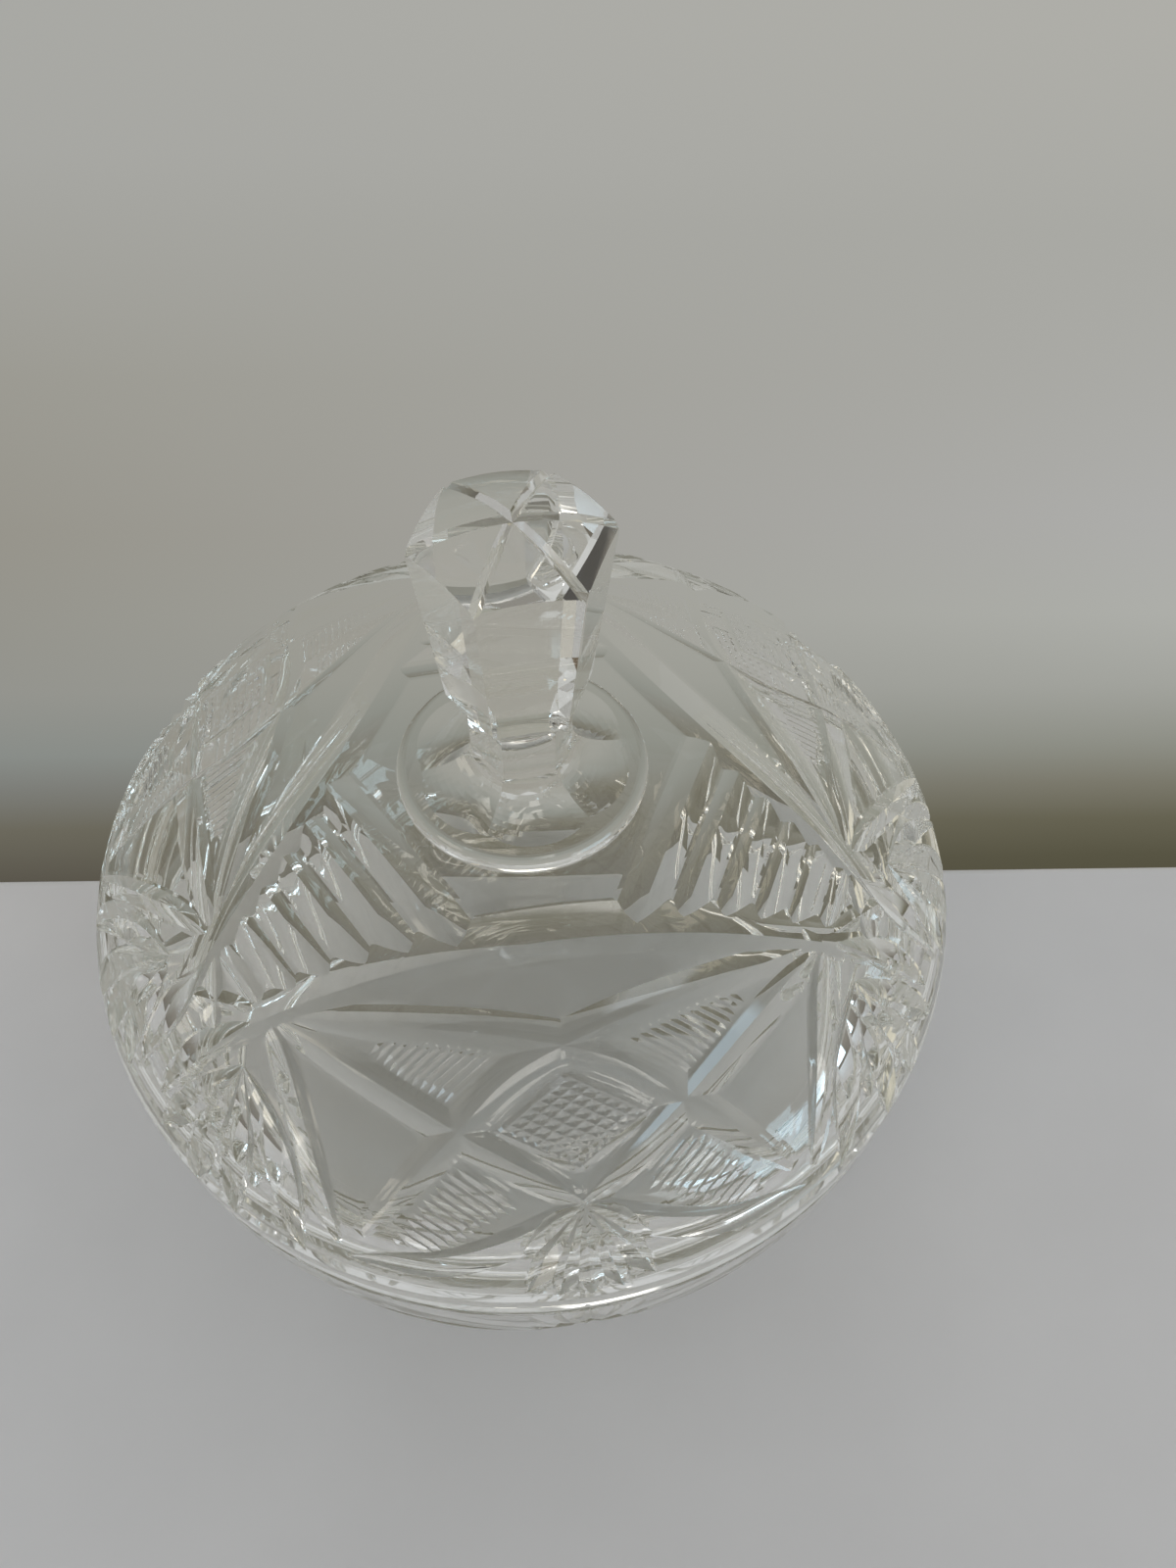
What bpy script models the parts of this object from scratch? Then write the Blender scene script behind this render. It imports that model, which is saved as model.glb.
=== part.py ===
"""A covered powder jar in heavy clear glass: a round bowl and a domed lid that lifts off it,
with a tall six-sided finial on a round foot fused to the lid's crown.

Units are metres and +Z is up. The origin is the centre of the bowl's flat base. The lid's own
origin is the centre of its rim's lower edge, on the axis along which it lifts off.
"""

import math

import bmesh
import bpy

# Driving dimensions.
RIM_RADIUS = 0.075  # the lid and the bowl are equally wide where they meet
BOWL_HEIGHT = 0.066
BASE_RADIUS = 0.035
RIM_WALL = 0.005  # the bowl's wall at its rim
FLOOR = 0.007  # the bowl's floor at its centre
CROWN_WALL = 0.0055  # the lid's thickness at its centre
SEAT_GAP = 0.0003  # between the bowl's rim and the lid's
FLANGE_DEPTH = 0.004  # the ring under the lid that keeps it central in the bowl
FLANGE_WALL = 0.0026
FLANGE_CLEARANCE = 0.0006  # all round, between that ring and the bowl
EDGE_ROUND = 0.001

# The dome and the bowl are superellipses: (r/R)**DOME_POWER + (z/H)**DOME_FLATNESS = 1.
DOME_POWER = 2.266
DOME_FLATNESS = 2.201
INNER_POWER = 2.4
LID_BAND = 0.068 * RIM_RADIUS  # the plain upright band at the lid's edge
CROWN_HEIGHT = 0.479 * RIM_RADIUS  # from the lid's rim up to its crown
BOWL_BAND = 0.004

# The finial, with heights above the lid's rim.
FOOT_RADIUS = 0.269 * RIM_RADIUS
FOOT_TOP = 0.515 * RIM_RADIUS
FOOT_GAP = 0.0003  # the fused joint, kept open as a thin gap
FLARE_RADIUS = 0.229 * RIM_RADIUS
NECK_RADIUS = 0.114 * RIM_RADIUS
NECK_HEIGHT = 0.612 * RIM_RADIUS
WAIST_RADIUS = 0.13 * RIM_RADIUS
WAIST_HEIGHT = 0.73 * RIM_RADIUS
HEAD_RADIUS = 0.172 * RIM_RADIUS  # to the corners
HEAD_HEIGHT = 1.148 * RIM_RADIUS
HEAD_DOME = 0.028 * RIM_RADIUS  # how far the top bulges above its corners
STAR_DEPTH = 0.03 * RIM_RADIUS  # the V cuts that cross on the top
STAR_HALF_WIDTH = 0.05 * RIM_RADIUS
FINIAL_SIDES = 6
FINIAL_TURN = math.radians(3.0)  # the finial stands a little turned from the lid's pattern

TURN_STEPS = 60
CURVE_POINTS = 14
ARC_POINTS = 4
SHARP_ANGLE = math.radians(28.0)
MERGE = 0.00005


def clear_scene():
    for obj in list(bpy.data.objects):
        bpy.data.objects.remove(obj)


def new_collection(name):
    collection = bpy.data.collections.new(name)
    bpy.context.scene.collection.children.link(collection)
    return collection


def glass(name, tint):
    """Clear polished lead glass; the tint is what little colour the piece has in its thickness."""
    material = bpy.data.materials.new(name)
    material.use_nodes = True
    shader = material.node_tree.nodes["Principled BSDF"]
    shader.inputs["Base Color"].default_value = (*tint, 1.0)
    shader.inputs["Roughness"].default_value = 0.02
    shader.inputs["Metallic"].default_value = 0.0
    shader.inputs["IOR"].default_value = 1.54
    shader.inputs["Transmission Weight"].default_value = 1.0
    return material


def arc(centre, radius, start, end, count=ARC_POINTS):
    """Points (r, z) on a circle from one angle to another, in degrees from the +r direction."""
    angles = [math.radians(start + (end - start) * i / count) for i in range(count + 1)]
    return [(centre[0] + radius * math.cos(a), centre[1] + radius * math.sin(a)) for a in angles]


def dome_height(radius):
    """Height of the lid's outer surface above the top of its band."""
    rise = CROWN_HEIGHT - LID_BAND
    return rise * (1.0 - (radius / RIM_RADIUS) ** DOME_POWER) ** (1.0 / DOME_FLATNESS)


def superellipse(radius, height, power, start_radius=0.0, count=CURVE_POINTS):
    """Points (r, z) from the start radius, high, out to the full radius at z = 0."""
    first = math.asin((start_radius / radius) ** (power / 2.0))
    points = []
    for i in range(count + 1):
        turn = first + (math.pi / 2.0 - first) * i / count
        across = radius * math.sin(turn) ** (2.0 / power)
        up = height * max(math.cos(turn), 0.0) ** (2.0 / DOME_FLATNESS)
        points.append((across, up))
    return points


def turned(name, profile, collection, steps=TURN_STEPS):
    """A closed body of revolution; the profile starts and ends on the axis."""
    mesh = bpy.data.meshes.new(name)
    shape = bmesh.new()
    corners = [shape.verts.new((r, 0.0, z)) for r, z in profile]
    for first, second in zip(corners, corners[1:]):
        shape.edges.new((first, second))
    shape.to_mesh(mesh)
    shape.free()
    obj = bpy.data.objects.new(name, mesh)
    collection.objects.link(obj)
    screw = obj.modifiers.new("Turn", "SCREW")
    screw.axis = "Z"
    screw.angle = 2.0 * math.pi
    screw.steps = steps
    screw.render_steps = steps
    screw.use_merge_vertices = True
    screw.merge_threshold = MERGE
    return obj


def boolean(obj, other, operation):
    cut = obj.modifiers.new(other.name, "BOOLEAN")
    cut.operation = operation
    cut.object = other
    cut.solver = "EXACT"


def hide(obj):
    obj.hide_render = True
    obj.display_type = "WIRE"


def finish(obj, material):
    """Makes the modifiers' result the mesh, shades it smooth between its edges, and gives it its glass."""
    graph = bpy.context.evaluated_depsgraph_get()
    mesh = bpy.data.meshes.new_from_object(obj.evaluated_get(graph))
    obj.modifiers.clear()
    obj.data = mesh
    mesh.name = obj.name
    mesh.shade_smooth()
    mesh.set_sharp_from_angle(angle=SHARP_ANGLE)
    mesh.materials.clear()
    mesh.materials.append(material)


def bowl_profile():
    """From the centre of the bowl's floor up its inside, over the rim and down the outside to the base."""
    shoulder = BOWL_HEIGHT - BOWL_BAND
    inner_radius = RIM_RADIUS - RIM_WALL
    inner_depth = shoulder - FLOOR
    inside = [(r, shoulder - z) for r, z in superellipse(inner_radius, inner_depth, INNER_POWER)]
    base_turn = math.asin((BASE_RADIUS / RIM_RADIUS) ** (DOME_POWER / 2.0))
    outer_depth = shoulder / math.cos(base_turn) ** (2.0 / DOME_FLATNESS)
    outside = superellipse(RIM_RADIUS, outer_depth, DOME_POWER, BASE_RADIUS)
    outside = [(r, shoulder - z) for r, z in reversed(outside)]
    rim_z = BOWL_HEIGHT - EDGE_ROUND
    rim = arc((inner_radius + EDGE_ROUND, rim_z), EDGE_ROUND, 180.0, 90.0)
    rim += arc((RIM_RADIUS - EDGE_ROUND, rim_z), EDGE_ROUND, 90.0, 0.0)
    return inside + rim + outside + [(0.0, 0.0)]


def lid_profile():
    """From the crown's centre down the outside, round the rim and flange, and up the inside."""
    rise = CROWN_HEIGHT - LID_BAND
    outside = [(r, LID_BAND + z) for r, z in superellipse(RIM_RADIUS, rise, DOME_POWER)]
    rim = arc((RIM_RADIUS - EDGE_ROUND, EDGE_ROUND), EDGE_ROUND, 0.0, -90.0)
    flange_outer = RIM_RADIUS - RIM_WALL - FLANGE_CLEARANCE
    flange_inner = flange_outer - FLANGE_WALL
    tip_z = EDGE_ROUND - FLANGE_DEPTH
    flange = [(flange_outer, 0.0)]
    flange += arc((flange_outer - EDGE_ROUND, tip_z), EDGE_ROUND, 0.0, -90.0)
    flange += arc((flange_inner + EDGE_ROUND, tip_z), EDGE_ROUND, -90.0, -180.0)
    inner_rise = CROWN_HEIGHT - CROWN_WALL - tip_z
    inside = superellipse(flange_inner, inner_rise, INNER_POWER)
    inside = [(r, tip_z + z) for r, z in reversed(inside)]
    return outside + rim + flange + inside[1:]


def foot_profile():
    """The finial's round foot: flat on top, a round edge, and hollowed below to sit on the dome."""
    underside_z = LID_BAND + dome_height(FOOT_RADIUS) + FOOT_GAP
    edge = (FOOT_TOP - underside_z) / 2.0
    edge_centre = (FOOT_RADIUS - edge, FOOT_TOP - edge)
    profile = [(0.0, FOOT_TOP)] + arc(edge_centre, edge, 90.0, -90.0, 2 * ARC_POINTS)
    for i in range(ARC_POINTS - 1, -1, -1):
        r = edge_centre[0] * i / ARC_POINTS
        profile.append((r, LID_BAND + dome_height(r) + FOOT_GAP))
    return profile


def column_profile():
    """The finial's corners: a tapered shaft, a short neck, and a hollow flare down to the foot."""
    flare_width = FLARE_RADIUS - NECK_RADIUS
    flare_height = NECK_HEIGHT - FOOT_TOP
    flare = []
    for i in range(ARC_POINTS * 2 + 1):
        turn = math.pi / 2.0 * i / (ARC_POINTS * 2)
        r = FLARE_RADIUS - flare_width * math.cos(turn)
        flare.append((r, NECK_HEIGHT - flare_height * math.sin(turn)))
    buried = FOOT_TOP - 0.4 * (FOOT_TOP - CROWN_HEIGHT)
    top = HEAD_HEIGHT + 2.0 * HEAD_DOME
    head = [(0.0, top), (HEAD_RADIUS, top), (HEAD_RADIUS, HEAD_HEIGHT)]
    return head + [(WAIST_RADIUS, WAIST_HEIGHT)] + flare + [(FLARE_RADIUS, buried), (0.0, buried)]


def head_envelope_profile():
    """A wide body whose domed top gives the finial's head its rounded top."""
    wide = 1.5 * FOOT_RADIUS
    profile = []
    for i in range(CURVE_POINTS + 1):
        r = wide * i / CURVE_POINTS
        profile.append((r, HEAD_HEIGHT + HEAD_DOME * (1.0 - (r / HEAD_RADIUS) ** 2)))
    return profile + [(wide, 0.0), (0.0, 0.0)]


def star_cutter(number, collection):
    """One V groove right across the finial's head, from corner to corner."""
    height = 3.0 * STAR_DEPTH
    shape = bmesh.new()
    bmesh.ops.create_cone(
        shape, cap_ends=True, segments=3, radius1=1.0, radius2=1.0, depth=4.0 * HEAD_RADIUS
    )
    # The unit triangle has a corner at +X, and its opposite side lies at x = -1/2.
    widest = STAR_HALF_WIDTH * height / STAR_DEPTH
    for vert in shape.verts:
        across = vert.co.y / (math.sqrt(3.0) / 2.0) * widest
        up = (1.0 - vert.co.x) / 1.5 * height
        along = vert.co.z
        vert.co = (along, across, up)
    bmesh.ops.recalc_face_normals(shape, faces=shape.faces)
    mesh = bpy.data.meshes.new(f"star_cutter_{number}")
    shape.to_mesh(mesh)
    shape.free()
    obj = bpy.data.objects.new(mesh.name, mesh)
    obj.location.z = HEAD_HEIGHT + HEAD_DOME - STAR_DEPTH
    obj.rotation_euler.z = number * math.pi / (FINIAL_SIDES / 2)
    collection.objects.link(obj)
    hide(obj)
    return obj


def make_finial(parts, cutters):
    finial = turned("finial", column_profile(), parts, FINIAL_SIDES)
    envelope = turned("head_envelope", head_envelope_profile(), cutters)
    hide(envelope)
    boolean(finial, envelope, "INTERSECT")
    for number in range(FINIAL_SIDES // 2):
        boolean(finial, star_cutter(number, cutters), "DIFFERENCE")
    foot = turned("foot", foot_profile(), cutters)
    hide(foot)
    boolean(finial, foot, "UNION")
    finish(finial, glass("finial_glass", (0.97, 0.96, 0.92)))
    return finial


def main():
    clear_scene()
    parts = new_collection("powder_jar")
    cutters = new_collection("cutters")

    bowl = turned("bowl", bowl_profile(), parts)
    finish(bowl, glass("bowl_glass", (0.94, 0.96, 0.95)))

    lid = turned("lid_dome", lid_profile(), parts)
    finish(lid, glass("lid_glass", (0.95, 0.97, 0.96)))

    finial = make_finial(parts, cutters)
    finial.parent = lid
    finial.rotation_euler.z = FINIAL_TURN
    lid.location.z = BOWL_HEIGHT + SEAT_GAP


main()
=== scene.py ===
"""The looks of the powder jar: its cut lid and bowl in clear crystal, on a pale table.

The pattern's lengths are in rim radii, and each glass body is scaled to metres when it is done.
Azimuth 0 is -Y, towards the viewer, and grows towards +X. The lid's pattern has three panels, at
0, 120 and 240 degrees, and a pillar between each two. Half a panel and half a pillar, 60 degrees
in all, are cut from a solid wedge, which is then mirrored and turned to make the whole body.
"""

import math

import bmesh
import bpy
import numpy as np
from mathutils import Matrix, Vector


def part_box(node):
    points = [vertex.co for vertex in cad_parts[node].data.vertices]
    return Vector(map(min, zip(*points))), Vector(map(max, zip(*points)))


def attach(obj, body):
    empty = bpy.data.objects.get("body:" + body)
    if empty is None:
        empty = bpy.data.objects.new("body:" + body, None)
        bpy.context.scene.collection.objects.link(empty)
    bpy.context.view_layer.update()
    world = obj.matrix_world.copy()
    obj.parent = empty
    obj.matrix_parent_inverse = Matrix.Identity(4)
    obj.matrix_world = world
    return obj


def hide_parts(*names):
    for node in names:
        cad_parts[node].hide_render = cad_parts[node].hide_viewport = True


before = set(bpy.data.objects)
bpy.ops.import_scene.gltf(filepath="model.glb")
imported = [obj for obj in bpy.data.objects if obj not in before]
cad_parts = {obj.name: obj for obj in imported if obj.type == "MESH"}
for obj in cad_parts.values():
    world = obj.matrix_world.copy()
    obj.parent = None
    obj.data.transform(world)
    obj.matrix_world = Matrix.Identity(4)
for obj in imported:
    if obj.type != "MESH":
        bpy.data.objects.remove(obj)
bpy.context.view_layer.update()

# Sizes in metres that the CAD model gives.
LID_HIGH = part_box("lid_dome")[1]
BOWL_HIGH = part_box("bowl")[1]
RIM_RADIUS = LID_HIGH.x
SEAT_GAP = 0.0003
LID_ORIGIN = Vector((0.0, 0.0, BOWL_HIGH.z + SEAT_GAP))

# The CAD profiles' proportions: lengths in rim radii, and the powers of the domes' curves.
BOWL_HEIGHT = BOWL_HIGH.z / RIM_RADIUS
BASE_RADIUS = 0.035 / RIM_RADIUS
RIM_WALL = 0.005 / RIM_RADIUS
FLOOR = 0.007 / RIM_RADIUS
CROWN_WALL = 0.0055 / RIM_RADIUS
FLANGE_DEPTH = 0.004 / RIM_RADIUS
FLANGE_WALL = 0.0026 / RIM_RADIUS
FLANGE_CLEARANCE = 0.0006 / RIM_RADIUS
EDGE_ROUND = 0.001 / RIM_RADIUS
BOWL_BAND = 0.004 / RIM_RADIUS
DOME_POWER = 2.266
DOME_FLATNESS = 2.201
INNER_POWER = 2.4
LID_BAND = 0.068
CROWN_HEIGHT = 0.479

# Three small rounded steps inside the lid's rim, in rim radii: their heights above it and size.
LEDGES = (0.022, 0.06, 0.1)
LEDGE_WIDTH = 0.012
LEDGE_ROUND = 0.005

# The finial, in rim radii and heights above the lid's rim.
FINIAL_SIDES = 6
FINIAL_TURN = math.radians(3.0)
FOOT_RADIUS = 0.269
FOOT_TOP = 0.515
NECK_RADIUS = 0.107
NECK_BASE = 0.592
HEAD_RADIUS = 0.18
HEAD_HEIGHT = 1.131
HEAD_DOME = 0.045
STAR_DEPTH = 0.01
STAR_DEEPENING = 0.001

# The wedge that a body is cut from, and the fineness of the meshes. Lengths are in rim radii.
WEDGE = math.radians(60.0)
WEDGE_STEPS = 48
SKIRT_STEPS = 14
SIDE_STEPS = 12
STAR_STEPS = 10
PATH_SPACING = 0.03
SHARP_ANGLE = math.radians(6.0)
WELD = 0.00001

# The cutters, in rim radii: how far one rises above the surface, and how deep the softened lip
# along its edges is. The lip's slope is a share of its side's.
CUT_RISE = 0.014
CUT_LIP = 0.0018
FINE_RISE = 0.006
FINE_LIP = 0.0009
LIP_SLOPE = 0.36
HATCH_PITCH = 0.0166
HATCH_DEPTH = 0.0055
LEAF_SLOPES = (0.85, 0.85)

# Azimuths of the middles of the first panel and the first pillar.
PANEL = 0.0
PILLAR = WEDGE

# The stage, in metres. The table's far edge and the wall are turned a little, and the jar's back
# reaches past both of them.
TABLE_TURN = math.radians(-7.45)
TABLE_BACK = 0.545 * RIM_RADIUS
WALL_GAP = 0.01
CAMERA_PLACE = LID_ORIGIN + Vector((-0.1324, -1.469, 2.504)) * RIM_RADIUS

# A place on the wall is told by how far below the camera it is and how far to the camera's right,
# over the camera's distance from the wall. Scaled by these, both run from 0 to 1.
DEPTH_SCALE = -0.5
SIDE_SCALE = 0.6
SIDE_MIDDLE = 0.5

# The glass: how clear its shadow is, its tints, and the height in metres of its faint waves.
GLASS_IOR = 1.54
SHADOW_CLEARNESS = (0.58, 0.58, 0.58, 1.0)
CLEAR_TINT = (0.995, 0.993, 0.965)
HATCHED_TINT = (0.985, 0.983, 0.965)
FINIAL_TINT = (0.985, 0.975, 0.93)
BODY_WAVES = 0.00002
CUT_WAVES = 0.00001
HATCHED_ROUGHNESS = 0.06


# ---------------------------------------------------------------- profiles


def arc(centre, radius, start, end, count=5):
    """Points (r, z) on a circle from one angle to another, in degrees from the +r direction."""
    angles = [math.radians(start + (end - start) * i / count) for i in range(count + 1)]
    return [(centre[0] + radius * math.cos(a), centre[1] + radius * math.sin(a)) for a in angles]


def superellipse(radius, height, power, start_radius=0.0, count=44):
    """Points (r, z) from the start radius, high, out to the full radius at z = 0."""
    first = math.asin((start_radius / radius) ** (power / 2.0))
    points = []
    for i in range(count + 1):
        turn = first + (math.pi / 2.0 - first) * i / count
        across = radius * math.sin(turn) ** (2.0 / power)
        up = height * max(math.cos(turn), 0.0) ** (2.0 / DOME_FLATNESS)
        points.append((across, up))
    return points


def lid_outside():
    """From the crown's centre out and down to the rim's band."""
    rise = CROWN_HEIGHT - LID_BAND
    return [(r, LID_BAND + z) for r, z in superellipse(1.0, rise, DOME_POWER)]


def lid_profile():
    """From the crown's centre down the outside, round the rim and flange, and up the inside."""
    rim = arc((1.0 - EDGE_ROUND, EDGE_ROUND), EDGE_ROUND, 0.0, -90.0)
    flange_outer = 1.0 - RIM_WALL - FLANGE_CLEARANCE
    flange_inner = flange_outer - FLANGE_WALL
    tip_z = EDGE_ROUND - FLANGE_DEPTH
    flange = [(flange_outer, 0.0)]
    flange += arc((flange_outer - EDGE_ROUND, tip_z), EDGE_ROUND, 0.0, -90.0)
    flange += arc((flange_inner + EDGE_ROUND, tip_z), EDGE_ROUND, -90.0, -180.0)
    wall = flange_inner
    ledges = []
    for height in LEDGES:
        low, high = height - LEDGE_ROUND, height + LEDGE_ROUND
        ledges += arc((wall + LEDGE_ROUND, low), LEDGE_ROUND, 180.0, 90.0)
        wall += LEDGE_WIDTH
        ledges += arc((wall - LEDGE_ROUND, high), LEDGE_ROUND, -90.0, 0.0)
    inside = superellipse(wall, CROWN_HEIGHT - CROWN_WALL - high, INNER_POWER)
    inside = [(r, high + z) for r, z in reversed(inside)]
    return lid_outside() + rim + flange + ledges + inside[1:]


def bowl_outside():
    """From the base's centre out to its edge and up to the rim's band."""
    shoulder = BOWL_HEIGHT - BOWL_BAND
    base_turn = math.asin(BASE_RADIUS ** (DOME_POWER / 2.0))
    depth = shoulder / math.cos(base_turn) ** (2.0 / DOME_FLATNESS)
    wall = [(r, shoulder - z) for r, z in superellipse(1.0, depth, DOME_POWER, BASE_RADIUS)]
    base_steps = 12
    base = [(BASE_RADIUS * i / base_steps, 0.0) for i in range(base_steps)]
    return base + wall


def bowl_profile():
    """From the base's centre up the outside, over the rim and down the inside."""
    rim_z = BOWL_HEIGHT - EDGE_ROUND
    inner_radius = 1.0 - RIM_WALL
    rim = arc((1.0 - EDGE_ROUND, rim_z), EDGE_ROUND, 0.0, 90.0)
    rim += arc((inner_radius + EDGE_ROUND, rim_z), EDGE_ROUND, 90.0, 180.0)
    shoulder = BOWL_HEIGHT - BOWL_BAND
    inside = superellipse(inner_radius, shoulder - FLOOR, INNER_POWER)
    inside = [(r, shoulder - z) for r, z in reversed(inside)]
    return bowl_outside() + rim + inside


class CutFace:
    """A body's outside, unrolled from its pole.

    A point (u, v) is hypot(u, v) along the surface from the pole, past an uncut middle, and
    atan2(u, v) round from the middle of its pattern.
    """

    def __init__(self, outside, outward, middle=0.0):
        across, up = np.array(outside).T
        self.along = np.concatenate([[0.0], np.cumsum(np.hypot(np.diff(across), np.diff(up)))])
        self.across, self.up = across, up
        self.slope_across = np.gradient(across, self.along)
        self.slope_up = np.gradient(up, self.along)
        self.outward = outward
        self.middle = middle

    def place(self, points, centre, mirrored):
        """The places, the outward normals and the azimuths of points (u, v) of a pattern."""
        u, v = np.array(points).T
        rho = np.hypot(u, v) + self.middle
        azimuth = centre + (-1.0 if mirrored else 1.0) * np.arctan2(u, v)
        sine, cosine = np.sin(azimuth), -np.cos(azimuth)
        across = np.interp(rho, self.along, self.across)
        up = np.interp(rho, self.along, self.up)
        normal_across = -self.outward * np.interp(rho, self.along, self.slope_up)
        normal_up = self.outward * np.interp(rho, self.along, self.slope_across)
        normals = np.stack([normal_across * sine, normal_across * cosine, normal_up], axis=1)
        normals /= np.linalg.norm(normals, axis=1, keepdims=True)
        return np.stack([across * sine, across * cosine, up], axis=1), normals, azimuth


# ---------------------------------------------------------------- meshes


def mesh_object(name, vertices, faces, materials):
    mesh = bpy.data.meshes.new(name)
    mesh.from_pydata([tuple(v) for v in vertices], [], faces)
    for material in materials:
        mesh.materials.append(material)
    obj = bpy.data.objects.new(name, mesh)
    bpy.context.scene.collection.objects.link(obj)
    return obj


def turned_wedge(name, profile, material):
    """A solid sector of a turned body; the profile starts and ends on the axis."""
    steps, count = WEDGE_STEPS, len(profile)
    vertices = [(0.0, 0.0, profile[0][1]), (0.0, 0.0, profile[-1][1])]
    for i in range(steps + 1):
        azimuth = WEDGE * i / steps
        for r, z in profile[1:-1]:
            vertices.append((r * math.sin(azimuth), -r * math.cos(azimuth), z))

    def index(step, point):
        if point in (0, count - 1):
            return 0 if point == 0 else 1
        return 2 + step * (count - 2) + point - 1

    faces = []
    for i in range(steps):
        for j in range(count - 1):
            corners = (index(i, j), index(i, j + 1), index(i + 1, j + 1), index(i + 1, j))
            faces.append(tuple(dict.fromkeys(corners)))
    faces.append(tuple(index(0, j) for j in reversed(range(count))))
    faces.append(tuple(index(steps, j) for j in range(count)))
    return closed_object(name, vertices, faces, [material])


def closed_object(name, vertices, faces, materials):
    """An object whose closed mesh faces outward, whichever way its faces were listed."""
    corners = np.array(vertices)
    volume = 0.0
    for face in faces:
        for second, third in zip(face[1:], face[2:]):
            volume += np.dot(corners[face[0]], np.cross(corners[second], corners[third]))
    if volume < 0.0:
        faces = [face[::-1] for face in faces]
    return mesh_object(name, vertices, faces, materials)


def sweep(name, sections, material):
    """A closed body through a row of sections with equal numbers of corners."""
    count, corners = sections.shape[:2]
    faces = []
    for i in range(count - 1):
        for j in range(corners):
            first = i * corners + j
            second = i * corners + (j + 1) % corners
            faces.append((first, second, second + corners))
            faces.append((first, second + corners, first + corners))
    faces.append(tuple(reversed(range(corners))))
    faces.append(tuple((count - 1) * corners + j for j in range(corners)))
    return closed_object(name, sections.reshape(-1, 3), faces, [material])


def carve(obj, cutters, operation="DIFFERENCE"):
    """Cuts every cutter from the object, or joins or keeps it, then removes the cutters."""
    for cutter in cutters:
        modifier = obj.modifiers.new(cutter.name, "BOOLEAN")
        modifier.operation = operation
        modifier.object = cutter
        modifier.solver = "MANIFOLD"
        modifier.material_mode = "TRANSFER"
    graph = bpy.context.evaluated_depsgraph_get()
    mesh = bpy.data.meshes.new_from_object(obj.evaluated_get(graph))
    obj.modifiers.clear()
    obj.data = mesh
    for cutter in cutters:
        bpy.data.objects.remove(cutter)


def drop_side_faces(shape):
    """Opens a wedge's two sides, after moving the corners close to a side's plane onto it."""
    side_normals = [Vector((-1.0, 0.0, 0.0)), Vector((math.cos(WEDGE), math.sin(WEDGE), 0.0))]
    for normal in side_normals:
        for vert in shape.verts:
            distance = vert.co.dot(normal)
            if abs(distance) < WELD:
                vert.co -= normal * distance
    side_faces = []
    for face in shape.faces:
        for normal in side_normals:
            if all(abs(vert.co.dot(normal)) < WELD for vert in face.verts):
                side_faces.append(face)
                break
    bmesh.ops.delete(shape, geom=side_faces, context="FACES")


def everything_in(shape):
    return shape.verts[:] + shape.edges[:] + shape.faces[:]


def add_copy(shape, elements, matrix, mirrored=False):
    """Adds a transformed copy of some of the shape's elements to it."""
    copy = bmesh.ops.duplicate(shape, geom=elements)["geom"]
    verts = [element for element in copy if isinstance(element, bmesh.types.BMVert)]
    bmesh.ops.transform(shape, matrix=matrix, verts=verts)
    if mirrored:
        faces = [element for element in copy if isinstance(element, bmesh.types.BMFace)]
        bmesh.ops.reverse_faces(shape, faces=faces)


def drop_fins(shape):
    """Deletes the folded slivers that a weld leaves: faces with an open edge and a crowded one."""
    fins = []
    for face in shape.faces:
        uses = [len(edge.link_faces) for edge in face.edges]
        if min(uses) == 1 and max(uses) > 2:
            fins.append(face)
    bmesh.ops.delete(shape, geom=fins, context="FACES")


def whole_from_wedge(obj):
    """Mirrors a wedge, turns the two halves round the axis and welds them all."""
    shape = bmesh.new()
    shape.from_mesh(obj.data)
    bmesh.ops.triangulate(shape, faces=shape.faces)
    drop_side_faces(shape)
    mirror = Matrix.Diagonal((-1.0, 1.0, 1.0)).to_4x4()
    add_copy(shape, everything_in(shape), mirror, mirrored=True)
    sector = everything_in(shape)
    for turn in (1, 2):
        add_copy(shape, sector, Matrix.Rotation(turn * 2.0 * math.pi / 3.0, 4, "Z"))
    bmesh.ops.remove_doubles(shape, verts=shape.verts, dist=WELD)
    bmesh.ops.dissolve_degenerate(shape, edges=shape.edges, dist=WELD)
    drop_fins(shape)
    open_edges = [edge for edge in shape.edges if not edge.is_manifold]
    print(obj.name, "faces", len(shape.faces), "edges that aren't closed", len(open_edges))
    shape.to_mesh(obj.data)
    shape.free()


def to_metres(obj, origin):
    """Scales a body from rim radii, moves it to its place and sets its smooth shading."""
    obj.data.transform(Matrix.Translation(origin) @ Matrix.Scale(RIM_RADIUS, 4))
    obj.data.shade_smooth()
    obj.data.set_sharp_from_angle(angle=SHARP_ANGLE)


# ---------------------------------------------------------------- the cuts


def smooth_path(points):
    """Closely spaced points on a Catmull-Rom curve through the given ones."""
    given = np.array(points, float)
    given = np.concatenate([[2 * given[0] - given[1]], given, [2 * given[-1] - given[-2]]])
    path = []
    for before, start, end, after in zip(given, given[1:], given[2:], given[3:]):
        count = max(1, math.ceil(np.hypot(*(end - start)) / PATH_SPACING))
        for i in range(count):
            t = i / count
            path.append(
                0.5
                * (
                    2 * start
                    + (end - before) * t
                    + (2 * before - 5 * start + 4 * end - after) * t**2
                    + (3 * start - before - 3 * end + after) * t**3
                )
            )
    return np.array(path + [given[-2]])


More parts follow.
